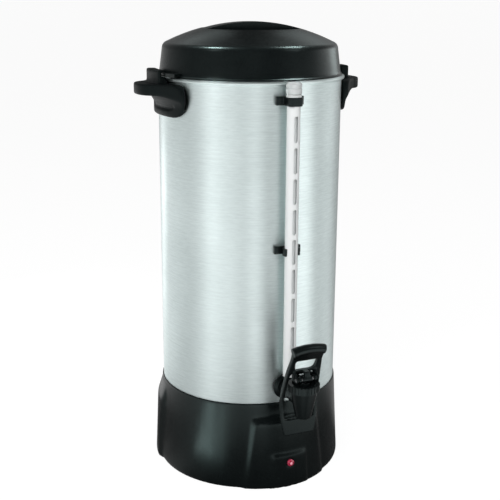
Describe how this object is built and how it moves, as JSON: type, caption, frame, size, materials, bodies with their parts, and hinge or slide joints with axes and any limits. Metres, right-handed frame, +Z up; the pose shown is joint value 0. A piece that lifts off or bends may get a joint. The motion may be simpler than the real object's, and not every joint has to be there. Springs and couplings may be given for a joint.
{
  "type": "coffee urn",
  "caption": "Tall brushed percolator urn with twist-lock lid, ear handles, slotted level gauge, cup-trip lever tap and black base with signal lamp.",
  "frame": {"origin": "on the tank's axis, in the plane of the counter", "axes": "+Z up along the tank's axis, -Y towards the tap and gauge, handles on +X and -X"},
  "size_m": [0.294, 0.3101, 0.5661],
  "materials": {
    "tank_aluminium": "brushed round the tank, satin",
    "aluminium": "plain pressed aluminium",
    "black_plastic": "black moulded plastic with a fine satin grain",
    "dark_plastic": "plain black",
    "pale_plastic": "pale heat-resisting moulding",
    "steel": "zinc plated",
    "cast_metal": "grey cast heater",
    "brass": "plain",
    "rubber": "black",
    "silicone": "pale translucent silicone",
    "red_lens": "clear red, facet inside",
    "bright_shield": "bright pale gloss",
    "clear_glass": "clear",
    "clear_cap": "clear moulded plastic"
  },
  "bodies": {
    "urn": {"tank": "tank_aluminium", "base_skirt": "black_plastic", "base_plate": "steel", "rubber_feet": "rubber", "foot_screws": "steel", "tie_stud": "steel", "tie_nut": "steel", "clamp_nut": "steel", "brew_heater": "cast_metal", "warming_heater": "cast_metal", "heater_clamp": "steel", "thermostat": "dark_plastic", "thermal_fuse": "brass", "terminal_block": "pale_plastic", "lamp_lens": "red_lens", "lamp_body": "pale_plastic", "mains_inlet": "dark_plastic", "inlet_pins": "brass", "handle_left": "black_plastic", "handle_right": "black_plastic", "handle_screws": "steel", "gauge_shield": "bright_shield", "gauge_glass": "clear_glass", "gauge_cap": "clear_cap", "gauge_top_bracket": "black_plastic", "gauge_mid_clip": "black_plastic", "gauge_screws": "steel", "gauge_seal": "rubber", "tap_body": "black_plastic", "tap_flange": "black_plastic", "tap_gasket": "rubber", "tap_inner_washer": "rubber", "tap_nut": "steel", "bonnet": "black_plastic", "bonnet_ring": "black_plastic", "lever_pin": "steel", "valve_spring": "steel"},
    "lever": {"lever": "black_plastic"},
    "valve": {"valve_stem": "steel", "seat_cup": "silicone"},
    "pump": {"pump_tube": "aluminium", "pump_foot": "aluminium"},
    "washer": {"pump_washer": "steel"},
    "basket": {"basket": "aluminium"},
    "cover": {"basket_cover": "aluminium"},
    "lid": {"lid": "black_plastic"}
  },
  "joints": [
    {"name": "lever_tip", "type": "hinge", "parent": "urn", "child": "lever", "pos_m": [0, -0.174, 0.165], "axis": [1, 0, 0], "range_deg": [0, 14], "stiffness_Nm_per_rad": 0.6, "springref_deg": -11.46},
    {"name": "valve_lift", "type": "slide", "parent": "urn", "child": "valve", "axis": [0, 0, 1], "range_m": [0, 0.002], "deforming": ["valve_spring"]},
    {"name": "pump_lift", "type": "slide", "parent": "urn", "child": "pump", "axis": [0, 0, 1], "range_m": [0, 0.44]},
    {"name": "washer_float", "type": "slide", "parent": "pump", "child": "washer", "axis": [0, 0, 1], "range_m": [0, 0.002]},
    {"name": "basket_lift", "type": "slide", "parent": "pump", "child": "basket", "axis": [0, 0, 1], "range_m": [0, 0.15]},
    {"name": "cover_lift", "type": "slide", "parent": "basket", "child": "cover", "axis": [0, 0, 1], "range_m": [0, 0.06]},
    {"name": "lid_lift", "type": "slide", "parent": "cover", "child": "lid", "axis": [0, 0, 1], "range_m": [0, 0.06]}
  ],
  "couplings": [
    {"joint": "valve_lift", "follows": "lever_tip", "m_per_rad": 0.008}
  ]
}
